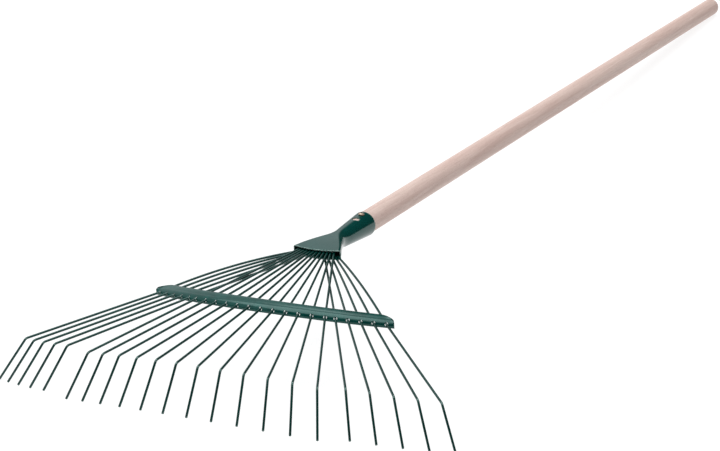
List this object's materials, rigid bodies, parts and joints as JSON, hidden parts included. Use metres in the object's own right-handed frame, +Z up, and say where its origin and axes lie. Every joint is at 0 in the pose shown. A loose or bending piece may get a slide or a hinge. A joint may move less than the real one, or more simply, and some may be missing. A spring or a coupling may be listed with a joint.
{
  "type": "leaf rake",
  "caption": "Leaf rake with a fan of bent spring-wire tines, a pressed cross brace, a sheet-steel socket head and a long round wooden handle.",
  "frame": {"origin": "on the surface the rake lies on, under the middle of its bounding box", "axes": "+Y runs along the rake from the tines to the end of the handle, +Z is up, X runs across the fan; the rake lies at rest on its outermost tine tips and the end of its handle"},
  "size_m": [0.5026, 1.7302, 0.099],
  "materials": {
    "tine_enamel": "glossy dark green enamel on spring wire, scuffed at the elbows and tips",
    "brace_enamel": "glossy dark green enamel on pressed sheet steel",
    "head_enamel": "glossy dark green enamel on pressed sheet steel",
    "handle_wood": "bare turned hardwood, smooth and matt, fine straight grain",
    "screw_steel": "bright zinc-plated steel"
  },
  "bodies": {
    "root": {"tine_01": "tine_enamel", "tine_02": "tine_enamel", "tine_03": "tine_enamel", "tine_04": "tine_enamel", "tine_05": "tine_enamel", "tine_06": "tine_enamel", "tine_07": "tine_enamel", "tine_08": "tine_enamel", "tine_09": "tine_enamel", "tine_10": "tine_enamel", "tine_11": "tine_enamel", "tine_12": "tine_enamel", "tine_13": "tine_enamel", "tine_14": "tine_enamel", "tine_15": "tine_enamel", "tine_16": "tine_enamel", "tine_17": "tine_enamel", "tine_18": "tine_enamel", "tine_19": "tine_enamel", "tine_20": "tine_enamel", "tine_21": "tine_enamel", "tine_22": "tine_enamel", "cross_brace": "brace_enamel", "socket_head": "head_enamel", "tine_spacer": "head_enamel", "handle": "handle_wood", "handle_screw": "screw_steel"}
  },
  "joints": []
}
